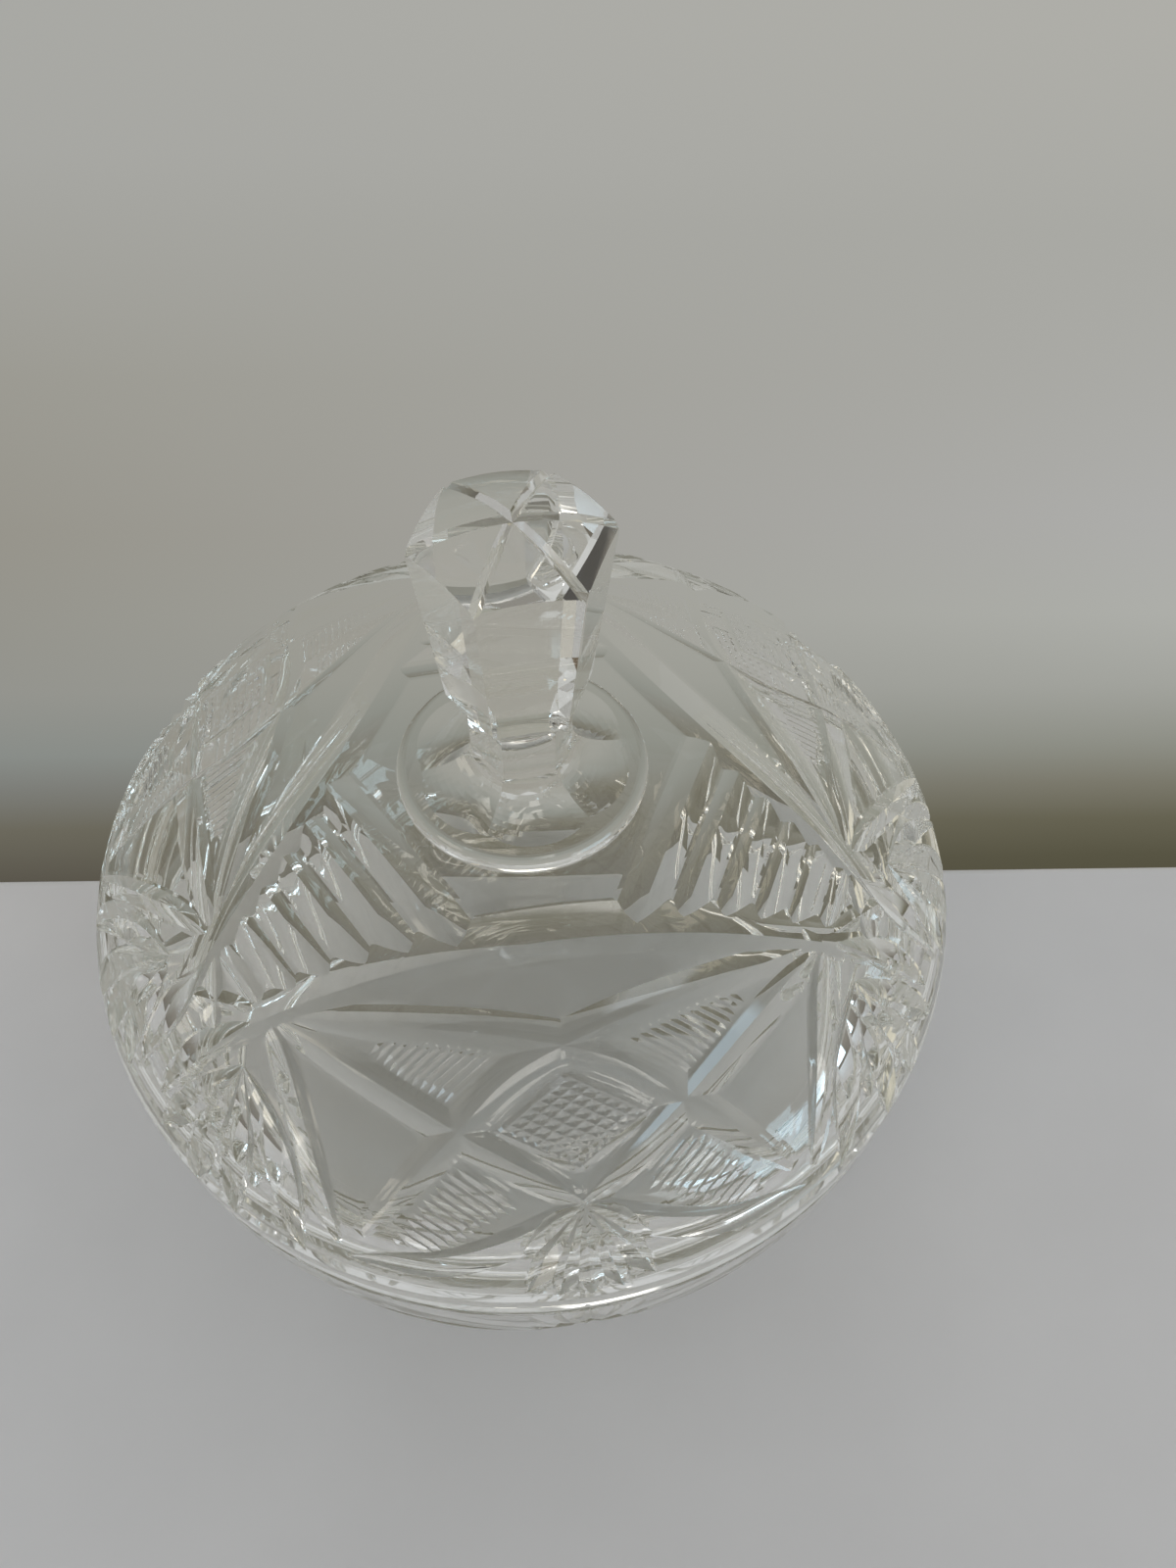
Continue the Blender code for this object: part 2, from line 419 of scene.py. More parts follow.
class Cut:
    """One V groove along a curve through points (u, v) of a panel or a pillar.

    deep is its valley's depth midway; starts and ends are the valley's depths at its two ends,
    below zero where it runs out. slopes are those of its left and right sides, seen along it.
    hold is how long it stays deep before it rises to its ends, and hollow how much its sides sag.
    A twin is mirrored across the middle of its pattern; a fine cut is one of a hatching.
    """

    def __init__(
        self,
        centre,
        points,
        deep,
        starts,
        ends,
        slopes,
        hold=3.0,
        hollow=0.25,
        twin=True,
        fine=False,
    ):
        self.centre = centre
        self.points = points
        self.deep = deep
        self.starts = starts
        self.ends = ends
        self.slopes = slopes
        self.hold = hold
        self.hollow = 0.0 if fine else hollow
        self.twin = twin
        self.fine = fine

    def flank(self, depth, slope):
        """Rows from the valley outward on one side: (distance across, rise above the valley)."""
        rise, lip = (FINE_RISE, FINE_LIP) if self.fine else (CUT_RISE, CUT_LIP)
        shallowest = 0.3 * (depth + rise)
        thinnest = 0.0001
        below = np.maximum(depth - lip, shallowest)
        above = np.maximum(depth + 0.25 * lip, below + thinnest)
        rows = []
        for share in (0.25, 0.5, 0.75, 1.0) if self.hollow else (1.0,):
            sag = 1.0 - self.hollow * (1.0 - share)
            rows.append((share * below / slope, below * share * sag))
        edge = rows[-1][0] + (above - below) / (LIP_SLOPE * slope)
        rows.append((edge, above))
        rows.append((edge + (depth + rise - above) / slope, depth + rise))
        return rows

    def sections(self, face, mirrored):
        """The cutter's sections along the cut, or None where it lies outside the wedge."""
        path = smooth_path(self.points)
        points, normals, azimuth = face.place(path, self.centre, mirrored)
        margin = 0.02
        if azimuth.max() < -margin or azimuth.min() > WEDGE + margin:
            return None
        tangents = np.gradient(points, axis=0)
        tangents /= np.linalg.norm(tangents, axis=1, keepdims=True)
        sides = np.cross(tangents, normals) * (-1.0 if mirrored else 1.0)
        t = np.linspace(0.0, 1.0, len(points))
        end_depth = self.starts + (self.ends - self.starts) * t
        swell = 1.0 - np.abs(2.0 * t - 1.0) ** self.hold
        depth = (end_depth + (self.deep - end_depth) * swell)[:, None]
        valley = points - normals * depth
        corners = []
        for side, slope in zip((-1.0, 1.0), self.slopes):
            rows = []
            for out, rise in self.flank(depth, slope):
                rows.append(valley + normals * rise + sides * side * out)
            corners += rows[::-1] if side < 0.0 else [valley] + rows
        return np.stack(corners, axis=1)


def stretch_inside(origin, along, outline):
    """Where a line enters and leaves a convex outline, as distances from its origin, or None for
    less than a shortest stretch."""
    low, high = -10.0, 10.0
    shortest = 0.02
    middle = np.mean(outline, axis=0)
    for first, second in zip(outline, outline[1:] + outline[:1]):
        edge = np.subtract(second, first)
        inward = np.array([-edge[1], edge[0]])
        if inward @ (middle - first) < 0.0:
            inward = -inward
        rate = inward @ along
        gap = inward @ (np.array(first) - origin)
        if abs(rate) < 1e-9:
            if gap > 0.0:
                return None
        elif rate > 0.0:
            low = max(low, gap / rate)
        else:
            high = min(high, gap / rate)
    return (low, high) if high - low > shortest else None


def hatching(centre, outline, direction, pitch, depth):
    """Fine cuts side by side, a pitch apart, that fill a convex outline."""
    along = np.array([math.cos(direction), math.sin(direction)])
    across = np.array([-along[1], along[0]])
    offsets = np.array(outline) @ across
    count = int((offsets.max() - offsets.min()) / pitch)
    first = (offsets.max() + offsets.min() - (count - 1) * pitch) / 2.0
    cuts = []
    for i in range(count):
        origin = across * (first + i * pitch)
        stretch = stretch_inside(origin, along, outline)
        if stretch:
            ends = [origin + along * distance for distance in stretch]
            slopes = (2.0 * depth / pitch, 2.0 * depth / pitch)
            cuts.append(Cut(centre, ends, depth, -0.001, -0.001, slopes, fine=True, hold=8.0))
    return cuts


def arc_cut():
    """The long shallow arc across the top of a panel."""
    right = [(0.3, 0.421), (0.573, 0.457), (0.701, 0.486), (0.818, 0.524)]
    points = [(-u, v) for u, v in reversed(right)] + [(0.0, 0.405)] + right
    return Cut(PANEL, points, 0.021, -0.003, -0.003, (0.29, 0.42), twin=False, hold=4.0)


def crossing_cuts():
    """The four big cuts of a panel that cross their own mirror images."""
    corner = (-0.573, 0.457)
    upper = [corner, (-0.3, 0.533), (-0.1, 0.585), (0.1, 0.655), (0.25, 0.765), (0.45, 0.9)]
    middle = [corner, (-0.4, 0.602), (-0.219, 0.751), (-0.1, 0.836), (0.0, 0.905)]
    side = [(0.573, 0.457), (0.545, 0.55), (0.527, 0.66), (0.513, 0.78), (0.5, 0.91)]
    lower = [(0.0, 0.905), (0.1, 0.95), (0.2, 0.978), (0.32, 0.988), (0.49, 0.95)]
    return [
        Cut(PANEL, upper, 0.021, 0.004, 0.006, (0.42, 0.44), hollow=0.3),
        Cut(PANEL, middle, 0.017, 0.004, 0.008, (0.46, 0.46)),
        Cut(PANEL, side, 0.015, 0.003, 0.004, (0.5, 0.5)),
        Cut(PANEL, lower, 0.018, 0.004, 0.0, (0.5, 0.5)),
    ]


def star_leaves():
    """A panel's star: leaves that spread from its crossing cuts' lowest point to the rim."""
    start = 0.912
    cuts = []
    for degrees, reach in ((0.0, 0.22), (19.0, 0.22), (38.0, 0.23), (60.0, 0.16)):
        turn = math.radians(degrees)
        leaf = [(0.0, start), (reach * math.sin(turn), start + reach * math.cos(turn))]
        twin = degrees > 0.0
        cuts.append(Cut(PANEL, leaf, 0.03, 0.003, -0.003, (0.9, 0.9), twin=twin, hold=2.0))
    return cuts


def hatched_fields():
    """The fine cuts of a panel: above and below its crossing cuts, and across its diamond."""
    upper = [(0.1, 0.62), (0.2, 0.58), (0.3, 0.552), (0.39, 0.55), (0.33, 0.635), (0.24, 0.695)]
    lower = [(0.115, 0.9), (0.215, 0.805), (0.255, 0.805), (0.395, 0.925), (0.3, 0.97)]
    diamond = [(0.0, 0.655), (0.178, 0.757), (0.0, 0.866), (-0.178, 0.757)]
    cuts = hatching(PANEL, upper, math.radians(32.0), HATCH_PITCH, HATCH_DEPTH)
    cuts += hatching(PANEL, lower, math.radians(-42.0), HATCH_PITCH, HATCH_DEPTH)
    cuts += hatching(PANEL, diamond, math.atan2(0.092, 0.155), 1.25 * HATCH_PITCH, 0.006)
    return cuts


def fan_flutes():
    """The six hollow flutes across a pillar, with sharp ridges between them."""
    ridges = (0.293, 0.398, 0.482, 0.558, 0.63, 0.696, 0.745)
    valleys = (0.353, 0.436, 0.515, 0.587, 0.653, 0.722)
    half_lengths = (0.272, 0.229, 0.192, 0.160, 0.133, 0.105)
    cuts = []
    for top, valley, bottom, half in zip(ridges, valleys, ridges[1:], half_lengths):
        depth = 0.15 * (bottom - top)
        slopes = (depth / (valley - top), depth / (bottom - valley))
        ends = [(-half, valley), (0.0, valley), (half, valley)]
        cuts.append(Cut(PILLAR, ends, depth, depth, depth, slopes, twin=False, hollow=0.5))
    return cuts


def small_crossing():
    """The small cut that crosses its mirror image below a fan."""
    return Cut(PILLAR, [(-0.1, 0.73), (0.0, 0.795), (0.07, 0.84)], 0.014, 0.004, -0.002, (0.5, 0.5))


def palm_leaves():
    """The long leaf beside a pillar's middle and the four leaves of a palm."""
    palm = (0.155, 0.82)
    long_leaf = [(0.1, 0.73), (0.06, 0.87), (0.045, 1.02)]
    cuts = [Cut(PILLAR, long_leaf, 0.03, 0.004, -0.003, LEAF_SLOPES, hold=2.0)]
    leaves = (
        ((0.36, 0.88), (0.52, 1.0)),
        ((0.275, 0.95), (0.345, 1.115)),
        ((0.2, 0.985), (0.21, 1.155)),
        ((0.125, 0.95), (0.08, 1.08)),
    )
    for middle, tip in leaves:
        cuts.append(Cut(PILLAR, [palm, middle, tip], 0.032, 0.003, -0.003, LEAF_SLOPES, hold=2.0))
    return cuts


def lid_cuts():
    """The whole pattern of a panel and a pillar."""
    panel = [arc_cut()] + crossing_cuts() + star_leaves() + hatched_fields()
    return panel + fan_flutes() + [small_crossing()] + palm_leaves()


def bowl_cuts():
    """The lid's crossing cuts, stars and palms again, without its arcs, flutes and hatching."""
    return crossing_cuts() + star_leaves() + palm_leaves()


def cutters_for(face, cuts, cut_material, fine_material=None):
    """The cutters of a pattern, each cut and its twin where they reach into the wedge."""
    cutters = []
    for cut in cuts:
        for mirrored in (False, True) if cut.twin else (False,):
            sections = cut.sections(face, mirrored)
            if sections is not None:
                material = fine_material if cut.fine else cut_material
                cutters.append(sweep(f"cutter_{len(cutters)}", sections, material))
    return cutters


# ---------------------------------------------------------------- the finial


def finial_rings():
    """The finial's column from the top down: for each level its corners' radius and height, and
    its sides' middle radius and height."""
    flat = math.cos(math.pi / FINIAL_SIDES)
    shaft = ((0.199, 1.25), (0.145, 0.752), (0.113, 0.708), (NECK_RADIUS, 0.7))
    rings = []
    for radius, height in (*shaft, (NECK_RADIUS, NECK_BASE)):
        rings.append((radius, height, radius * flat, height))
    # The skirt spreads from the neck, its sides hollower than its corners.
    for i in range(1, SKIRT_STEPS + 1):
        turn = math.pi / 2.0 * i / SKIRT_STEPS
        spread = 1.0 - math.cos(turn)
        corner_radius = NECK_RADIUS + 0.115 * spread
        corner_height = NECK_BASE - 0.073 * math.sin(turn)
        side_radius = NECK_RADIUS * flat + 0.1433 * spread
        side_height = NECK_BASE - 0.074 * math.sin(turn) - 0.022 * math.sin(2.0 * turn)
        rings.append((corner_radius, corner_height, side_radius, side_height))
    blank = 0.31
    for height in (0.6, 0.4):
        rings.append((blank, height, blank, height))
    return rings


def finial_column(material):
    """The six-sided shaft, its neck and the six hollow flutes that spread onto the foot."""
    rings = finial_rings()
    flat = math.cos(math.pi / FINIAL_SIDES)
    around = FINIAL_SIDES * SIDE_STEPS
    vertices = []
    for corner_radius, corner_z, side_radius, side_z in rings:
        for k in range(around):
            step = k % SIDE_STEPS
            turn = 2.0 * math.pi / FINIAL_SIDES * (step / SIDE_STEPS - 0.5)
            straight = corner_radius * (flat / math.cos(turn))
            bulge = 1.0 - (2.0 * step / SIDE_STEPS - 1.0) ** 2
            radius = straight + (side_radius - corner_radius * flat) * bulge
            height = corner_z + (side_z - corner_z) * bulge
            angle = 2.0 * math.pi * k / around + FINIAL_TURN
            vertices.append((radius * math.cos(angle), radius * math.sin(angle), height))
    faces = []
    for i in range(len(rings) - 1):
        for k in range(around):
            a, b = i * around + k, i * around + (k + 1) % around
            faces.append((a, b, b + around))
            faces.append((a, b + around, a + around))
    faces.append(tuple(reversed(range(around))))
    faces.append(tuple((len(rings) - 1) * around + k for k in range(around)))
    return closed_object("finial_column", vertices, faces, [material])


def turned_body(name, profile, steps, material):
    """A whole turned body; the profile starts and ends on the axis."""
    count = len(profile) - 2
    vertices = [(0.0, 0.0, profile[0][1]), (0.0, 0.0, profile[-1][1])]
    faces = []
    for i in range(steps):
        angle = 2.0 * math.pi * i / steps
        for r, z in profile[1:-1]:
            vertices.append((r * math.cos(angle), r * math.sin(angle), z))
        here, there = 2 + i * count, 2 + (i + 1) % steps * count
        faces.append((0, here, there))
        for j in range(count - 1):
            faces.append((here + j, here + j + 1, there + j + 1, there + j))
        faces.append((here + count - 1, 1, there + count - 1))
    return closed_object(name, vertices, faces, [material])


def head_surface(r):
    """The height of the finial's slightly domed top."""
    return HEAD_HEIGHT + HEAD_DOME * (1.0 - (r / HEAD_RADIUS) ** 2)


def finial_envelope(material):
    """The blank that the finial is ground from: a domed top, and a foot with a thick round rim."""
    edge = 0.028
    foot = arc((FOOT_RADIUS - edge, FOOT_TOP - edge), edge, -90.0, 90.0, 16)
    under = [(0.0, 0.44), (0.235, 0.44)]
    shaft = 0.215
    head_steps = 12
    head = []
    for i in range(head_steps):
        r = shaft * (1.0 - i / head_steps)
        head.append((r, head_surface(r)))
    top = [(0.0, head_surface(0.0))]
    profile = under + foot + [(shaft, FOOT_TOP + 0.003)] + head + top
    return turned_body("finial_envelope", profile, 144, material)


def star_cuts(material):
    """Six V cuts from the middle of the finial's head to its corners."""
    start, length, rise = -0.01, 0.21, 0.03
    cutters = []
    for number in range(FINIAL_SIDES):
        angle = FINIAL_TURN + number * 2.0 * math.pi / FINIAL_SIDES
        out = np.array([math.cos(angle), math.sin(angle), 0.0])
        side = np.array([-math.sin(angle), math.cos(angle), 0.0])
        sections = []
        for i in range(STAR_STEPS + 1):
            r = start + length * i / STAR_STEPS
            depth = STAR_DEPTH + STAR_DEEPENING * max(r, 0.0) / HEAD_RADIUS
            valley = out * r + np.array([0.0, 0.0, head_surface(r) - depth])
            top = out * r + np.array([0.0, 0.0, head_surface(r) + rise])
            half_width = depth + rise
            sections.append([valley, top + side * half_width, top - side * half_width])
        cutters.append(sweep(f"star_{number}", np.array(sections), material))
    return cutters


def make_finial(material):
    """The finial as one body, in rim radii, with its foot sunk into the lid's crown."""
    finial = finial_column(material)
    carve(finial, [finial_envelope(material)], "INTERSECT")
    carve(finial, star_cuts(material))
    return finial


# ---------------------------------------------------------------- materials


def add_node(tree, kind, inputs=(), **settings):
    """A new node with its settings. Each input is linked to an output or set to a value."""
    node = tree.nodes.new(kind)
    for name, value in settings.items():
        setattr(node, name, value)
    for key, value in dict(inputs).items():
        if isinstance(value, bpy.types.NodeSocket):
            tree.links.new(value, node.inputs[key])
        else:
            node.inputs[key].default_value = value
    return node


def calculate(tree, operation, first, second=0.0, third=0.0, clamp=False):
    """The value of a maths node."""
    inputs = {0: first, 1: second, 2: third}
    node = add_node(tree, "ShaderNodeMath", inputs, operation=operation, use_clamp=clamp)
    return node.outputs["Value"]


def noise(tree, place, scale, detail):
    inputs = {"Vector": place, "Scale": scale, "Detail": detail}
    return add_node(tree, "ShaderNodeTexNoise", inputs).outputs["Fac"]


def ramp(tree, value, stops):
    """The colour for a value, from stops (position, colour) in rising order."""
    node = add_node(tree, "ShaderNodeValToRGB", {"Fac": value})
    elements = node.color_ramp.elements
    for element, (position, colour) in zip(elements, (stops[0], stops[-1])):
        element.position = position
        element.color = colour
    for position, colour in stops[1:-1]:
        elements.new(position).color = colour
    return node.outputs["Color"]


def mix(tree, factor, first, second):
    """The first colour at factor 0, the second at 1."""
    inputs = {0: factor, 6: first, 7: second}
    node = add_node(tree, "ShaderNodeMix", inputs, data_type="RGBA", clamp_factor=True)
    return node.outputs[2]


def srgb(red, green, blue):
    """A linear colour from 8-bit display values."""
    values = []
    for value in (red, green, blue):
        value /= 255.0
        values.append(value / 12.92 if value <= 0.04045 else ((value + 0.055) / 1.055) ** 2.4)
    return (*values, 1.0)


def new_material(name):
    material = bpy.data.materials.new(name)
    material.use_nodes = True
    return material, material.node_tree


def glass(name, tint, roughness, waviness):
    """Clear crystal with faint smears and a slight waviness, whose shadow is part transparent."""
    material, tree = new_material(name)
    shader = tree.nodes["Principled BSDF"]
    shader.inputs["Base Color"].default_value = (*tint, 1.0)
    shader.inputs["Metallic"].default_value = 0.0
    shader.inputs["IOR"].default_value = GLASS_IOR
    shader.inputs["Transmission Weight"].default_value = 1.0
    place = add_node(tree, "ShaderNodeTexCoord").outputs["Object"]

    grading = {
        "Value": noise(tree, place, 55.0, 4.0),
        "From Min": 0.35,
        "From Max": 0.75,
        "To Min": roughness,
        "To Max": roughness * 1.8 + 0.004,
    }
    smears = add_node(tree, "ShaderNodeMapRange", grading)
    tree.links.new(smears.outputs["Result"], shader.inputs["Roughness"])

    waves = {"Height": noise(tree, place, 90.0, 1.0), "Strength": 1.0, "Distance": waviness}
    bump = add_node(tree, "ShaderNodeBump", waves)
    tree.links.new(bump.outputs["Normal"], shader.inputs["Normal"])

    clear = add_node(tree, "ShaderNodeBsdfTransparent", {"Color": SHADOW_CLEARNESS})
    rays = add_node(tree, "ShaderNodeLightPath")
    shades = {
        "Fac": rays.outputs["Is Shadow Ray"],
        1: shader.outputs["BSDF"],
        2: clear.outputs["BSDF"],
    }
    mixed = add_node(tree, "ShaderNodeMixShader", shades)
    tree.links.new(mixed.outputs["Shader"], tree.nodes["Material Output"].inputs["Surface"])
    return material


def table_material():
    """Pale, matt and faintly clouded."""
    material, tree = new_material("pale_table")
    shader = tree.nodes["Principled BSDF"]
    shader.inputs["Roughness"].default_value = 0.55
    shader.inputs["Specular IOR Level"].default_value = 0.25
    place = add_node(tree, "ShaderNodeTexCoord").outputs["Object"]
    darker, lighter = (0.665, 0.65, 0.65, 1.0), (0.715, 0.7, 0.7, 1.0)
    colour = ramp(tree, noise(tree, place, 14.0, 5.0), [(0.3, darker), (0.7, lighter)])
    tree.links.new(colour, shader.inputs["Base Color"])
    return material


# ---------------------------------------------------------------- stage, light and camera


def make_table():
    """A pale table top whose far edge lies close behind the jar."""
    front, half_width, thickness, edge_radius = 2.0, 1.5, 0.03, 0.0015
    top = -0.0002
    shape = bmesh.new()
    bmesh.ops.create_cube(shape, size=1.0)
    for vert in shape.verts:
        vert.co.x *= 2.0 * half_width
        vert.co.y = TABLE_BACK if vert.co.y > 0.0 else -front
        vert.co.z = top if vert.co.z > 0.0 else top - thickness
    mesh = bpy.data.meshes.new("table_top")
    bmesh.ops.bevel(
        shape, geom=shape.edges[:], offset=edge_radius, segments=3, affect="EDGES", profile=0.5
    )
    shape.to_mesh(mesh)
    shape.free()
    mesh.materials.append(table_material())
    table = bpy.data.objects.new("table_top", mesh)
    table.rotation_euler.z = TABLE_TURN
    bpy.context.scene.collection.objects.link(table)


def wall_light_and_shade(tree, depth, side):
    """The wall's light by depth and side, each from 0 to 1: painted shade darkens it downwards to
    the table's level and below, and a painted shadow lies partway down its left side.
    """
    left = [
        (0.0, srgb(168, 170, 166)),
        (0.25, srgb(165, 165, 161)),
        (0.36, srgb(152, 150, 141)),
        (0.46, srgb(147, 144, 134)),
        (0.6, srgb(147, 147, 141)),
        (0.67, srgb(137, 141, 137)),
        (0.71, srgb(125, 126, 121)),
        (0.765, srgb(108, 105, 93)),
        (0.84, srgb(91, 87, 77)),
        (1.0, srgb(70, 66, 55)),
    ]
    right = [
        (0.0, srgb(178, 178, 174)),
        (0.2, srgb(177, 176, 170)),
        (0.28, srgb(171, 171, 166)),
        (0.45, srgb(175, 175, 173)),
        (0.53, srgb(174, 175, 170)),
        (0.6, srgb(162, 163, 157)),
        (0.665, srgb(142, 143, 134)),
        (0.715, srgb(123, 121, 108)),
        (0.765, srgb(102, 99, 82)),
        (0.82, srgb(88, 85, 68)),
        (1.0, srgb(68, 64, 50)),
    ]
    return mix(tree, side, ramp(tree, depth, left), ramp(tree, depth, right))


def make_wall():
    """The wall close behind the table, for the rays that leave the glass: they meet it from other
    places than the camera's do, which see the same wall in the world. It stands nearer than the
    jar's back would let a real wall stand, so from behind, the glass past it looks pale."""
    eye = Matrix.Rotation(-TABLE_TURN, 3, "Z") @ CAMERA_PLACE
    wall_y = TABLE_BACK + WALL_GAP
    away = wall_y - eye.y
    material, tree = new_material("wall_painted_light_and_shade")
    tree.nodes.remove(tree.nodes["Principled BSDF"])
    place = add_node(tree, "ShaderNodeTexCoord").outputs["Object"]
    x, _, z = add_node(tree, "ShaderNodeSeparateXYZ", {"Vector": place}).outputs

    def measured(value, scale, middle, origin):
        offset = middle - scale * origin / away
        return calculate(tree, "MULTIPLY_ADD", value, scale / away, offset, clamp=True)

    depth = measured(z, DEPTH_SCALE, 0.0, eye.z)
    side = measured(x, SIDE_SCALE, SIDE_MIDDLE, eye.x)
    colour = wall_light_and_shade(tree, depth, side)

    # A sunlit patch low on the wall, behind the jar's right side.
    patch_x, patch_z, patch_reach = 0.17, 0.01, 0.04
    patch_colour = (0.78, 0.74, 0.62, 1.0)
    in_column = calculate(tree, "COMPARE", x, patch_x, patch_reach)
    in_row = calculate(tree, "COMPARE", z, patch_z, patch_reach)
    sunlit = calculate(tree, "MULTIPLY", in_column, in_row)
    colour = mix(tree, sunlit, colour, patch_colour)
    # The wall glows with this painted light and shade instead of being lit: darker downwards, a
    # painted shadow on the left, and a painted sunlit patch.
    glow = add_node(tree, "ShaderNodeEmission", {"Color": colour}).outputs["Emission"]
    tree.links.new(glow, tree.nodes["Material Output"].inputs["Surface"])

    half_width, low, high = 0.6, -0.3, 0.16
    corners = ((-half_width, low), (half_width, low), (half_width, high), (-half_width, high))
    vertices = [(across, wall_y, up) for across, up in corners]
    wall = mesh_object("wall", vertices, [(0, 1, 2, 3)], [material])
    wall.rotation_euler.z = TABLE_TURN
    wall.visible_camera = False
    wall.visible_diffuse = False
    wall.visible_shadow = False


def make_world():
    """A plain room by direction: the wall behind the table, a brighter ceiling, and a dim room
    around the viewer with windows, dark doorways and sunlit patches."""
    world = bpy.data.worlds.new("room")
    bpy.context.scene.world = world
    world.use_nodes = True
    tree = world.node_tree
    direction = add_node(tree, "ShaderNodeTexCoord").outputs["Generated"]
    z = add_node(tree, "ShaderNodeSeparateXYZ", {"Vector": direction}).outputs["Z"]

    def dot_with(axis):
        inputs = {0: direction, 1: axis}
        node = add_node(tree, "ShaderNodeVectorMath", inputs, operation="DOT_PRODUCT")
        return node.outputs["Value"]

    # The wall stands parallel to the table's far edge. A direction that all but misses it is held
    # at this slant, so that nothing is divided by zero.
    least_slant = 0.02
    away = dot_with((-math.sin(TABLE_TURN), math.cos(TABLE_TURN), 0.0))
    across = dot_with((math.cos(TABLE_TURN), math.sin(TABLE_TURN), 0.0))
    ahead = calculate(tree, "MAXIMUM", away, least_slant)
    slope = calculate(tree, "DIVIDE", z, ahead)
    sideways = calculate(tree, "DIVIDE", across, ahead)
    depth = calculate(tree, "MULTIPLY", slope, DEPTH_SCALE, clamp=True)
    side = calculate(tree, "MULTIPLY_ADD", sideways, SIDE_SCALE, SIDE_MIDDLE, clamp=True)
    wall = wall_light_and_shade(tree, depth, side)

    ceiling_colour = srgb(205, 207, 208)
    stops = [
        (0.0, srgb(58, 48, 36)),
        (0.44, srgb(84, 72, 56)),
        (0.5, srgb(112, 108, 100)),
        (0.62, srgb(126, 122, 114)),
        (0.8, srgb(178, 180, 180)),
        (1.0, ceiling_colour),
    ]
    room = ramp(tree, calculate(tree, "MULTIPLY_ADD", z, 0.5, 0.5), stops)
    front = calculate(tree, "MULTIPLY", away, 4.0, clamp=True)
    ceiling = calculate(tree, "MULTIPLY_ADD", z, 2.5, -1.2, clamp=True)
    colour = mix(tree, ceiling, mix(tree, front, room, wall), ceiling_colour)

    # Windows, doorways and patches: direction, half-widths across and up, colour and strength.
    openings = (
        ((0.72, -0.66, 0.22), 0.2, 0.15, (0.62, 0.84, 1.0), 4.5),
        ((-0.85, -0.35, 0.45), 0.14, 0.16, (1.0, 0.93, 0.8), 2.5),
        ((0.1, -0.5, 0.86), 0.09, 0.08, (1.0, 0.98, 0.94), 4.0),
        ((-0.35, -1.0, 0.0), 0.22, 0.2, (0.035, 0.03, 0.024), 1.0),
        ((0.25, -1.0, 0.0), 0.12, 0.18, (0.12, 0.085, 0.05), 1.0),
        ((0.8, 0.12, -0.5), 0.16, 0.12, (1.0, 0.9, 0.66), 1.1),
        ((0.95, 0.25, 0.22), 0.06, 0.06, (1.0, 0.8, 0.45), 2.5),
        ((0.5, -0.8, 0.45), 0.05, 0.2, (0.85, 0.93, 1.0), 3.0),
    )
    soft_edge = 0.03
    for middle, half_across, half_up, tint, strength in openings:
        facing = Vector(middle).normalized()
        level = Vector((0.0, 0.0, 1.0)).cross(facing).normalized()
        inside = calculate(tree, "GREATER_THAN", dot_with(facing), 0.0)
        for axis, half in ((level, half_across), (facing.cross(level), half_up)):
            distance = calculate(tree, "ABSOLUTE", dot_with(axis))
            fade = {"Value": distance, "From Min": half + soft_edge, "From Max": half}
            edge = add_node(tree, "ShaderNodeMapRange", fade).outputs["Result"]
            inside = calculate(tree, "MULTIPLY", inside, edge)
        colour = mix(tree, inside, colour, (*(c * strength for c in tint), 1.0))

    background = tree.nodes["Background"]
    background.inputs["Strength"].default_value = 1.0
    tree.links.new(colour, background.inputs["Color"])


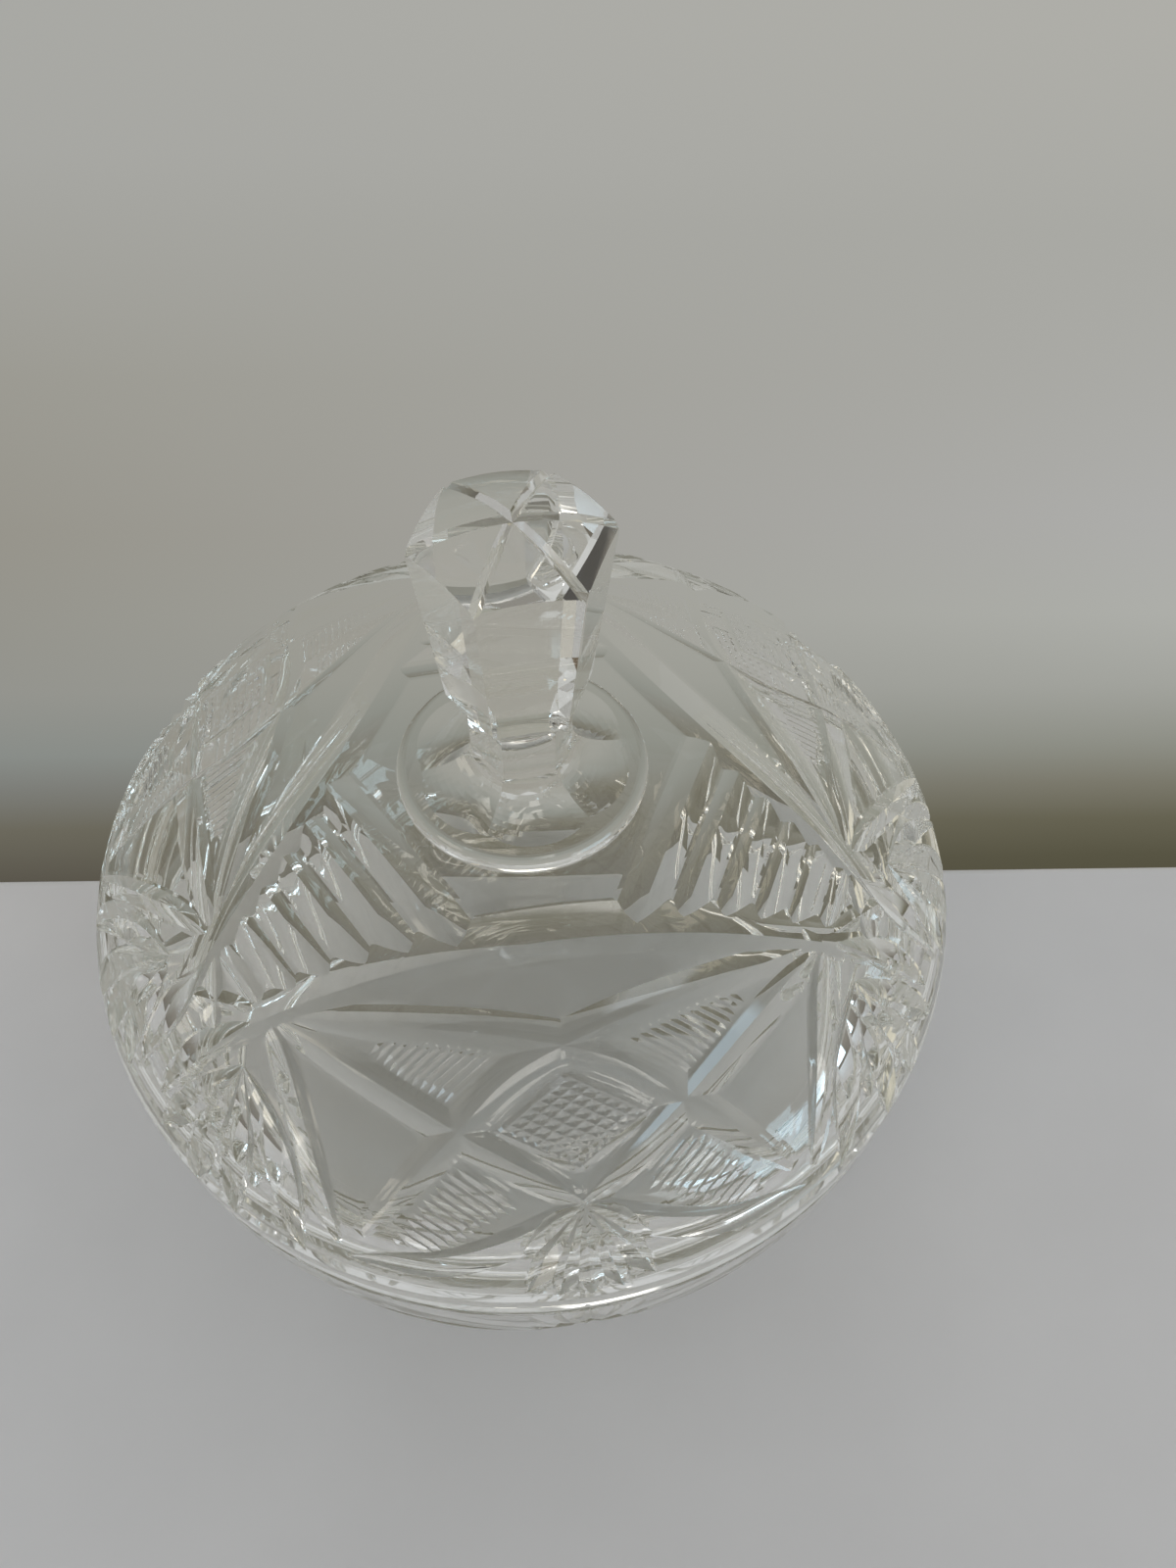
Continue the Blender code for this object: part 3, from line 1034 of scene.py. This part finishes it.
def make_camera():
    """A phone's camera that looks steeply down at the jar, a little turned and rolled."""
    yaw, pitch, roll = math.radians(10.63), math.radians(54.84), math.radians(2.02)
    forward = Vector(
        (math.sin(yaw) * math.cos(pitch), math.cos(yaw) * math.cos(pitch), -math.sin(pitch))
    )
    right = Vector((math.cos(yaw), -math.sin(yaw), 0.0))
    up = right.cross(forward)
    rolled_right = math.cos(roll) * right + math.sin(roll) * up
    rolled_up = math.cos(roll) * up - math.sin(roll) * right
    data = bpy.data.cameras.new("camera")
    data.sensor_width = 36.0
    data.lens = 26.77
    data.clip_start = 0.01
    camera = bpy.data.objects.new("camera", data)
    axes = Matrix((rolled_right, rolled_up, -forward)).transposed().to_4x4()
    camera.matrix_world = Matrix.Translation(CAMERA_PLACE) @ axes
    bpy.context.scene.collection.objects.link(camera)
    bpy.context.scene.camera = camera


# ---------------------------------------------------------------- the pieces


def make_lid():
    """The lid with its finial, whose glass is fused to it."""
    body = glass("lid_crystal", CLEAR_TINT, 0.0, BODY_WAVES)
    cut = glass("lid_cut_crystal", CLEAR_TINT, 0.0, CUT_WAVES)
    fine = glass("lid_hatched_crystal", HATCHED_TINT, HATCHED_ROUGHNESS, CUT_WAVES)
    knob = glass("finial_crystal", FINIAL_TINT, 0.0, CUT_WAVES)
    lid = turned_wedge("cut_lid", lid_profile(), body)
    face = CutFace(lid_outside(), outward=1.0)
    carve(lid, cutters_for(face, lid_cuts(), cut, fine))
    whole_from_wedge(lid)
    carve(lid, [make_finial(knob)], "UNION")
    to_metres(lid, LID_ORIGIN)
    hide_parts("lid_dome", "finial")
    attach(lid, "lid")


def make_bowl():
    """The bowl: the lid's pattern is laid out from its rim, so its base keeps an uncut middle."""
    body = glass("bowl_crystal", CLEAR_TINT, 0.0, BODY_WAVES)
    cut = glass("bowl_cut_crystal", CLEAR_TINT, 0.0, CUT_WAVES)
    bowl = turned_wedge("cut_bowl", bowl_profile(), body)
    face = CutFace(bowl_outside(), outward=-1.0)
    lid_length = CutFace(lid_outside(), outward=1.0).along[-1]
    face.middle = face.along[-1] - lid_length
    carve(bowl, cutters_for(face, bowl_cuts(), cut))
    whole_from_wedge(bowl)
    to_metres(bowl, Vector())
    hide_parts("bowl")
    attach(bowl, "bowl")


# Light passes many cut faces, so it is followed a long way.
BOUNCES = 36
scene = bpy.context.scene
scene.view_settings.view_transform = "Standard"
scene.cycles.max_bounces = BOUNCES
scene.cycles.transmission_bounces = BOUNCES
scene.cycles.glossy_bounces = BOUNCES
scene.cycles.transparent_max_bounces = BOUNCES
scene.cycles.caustics_reflective = False
scene.cycles.caustics_refractive = True
make_camera()
make_table()
make_wall()
make_world()
make_lid()
make_bowl()
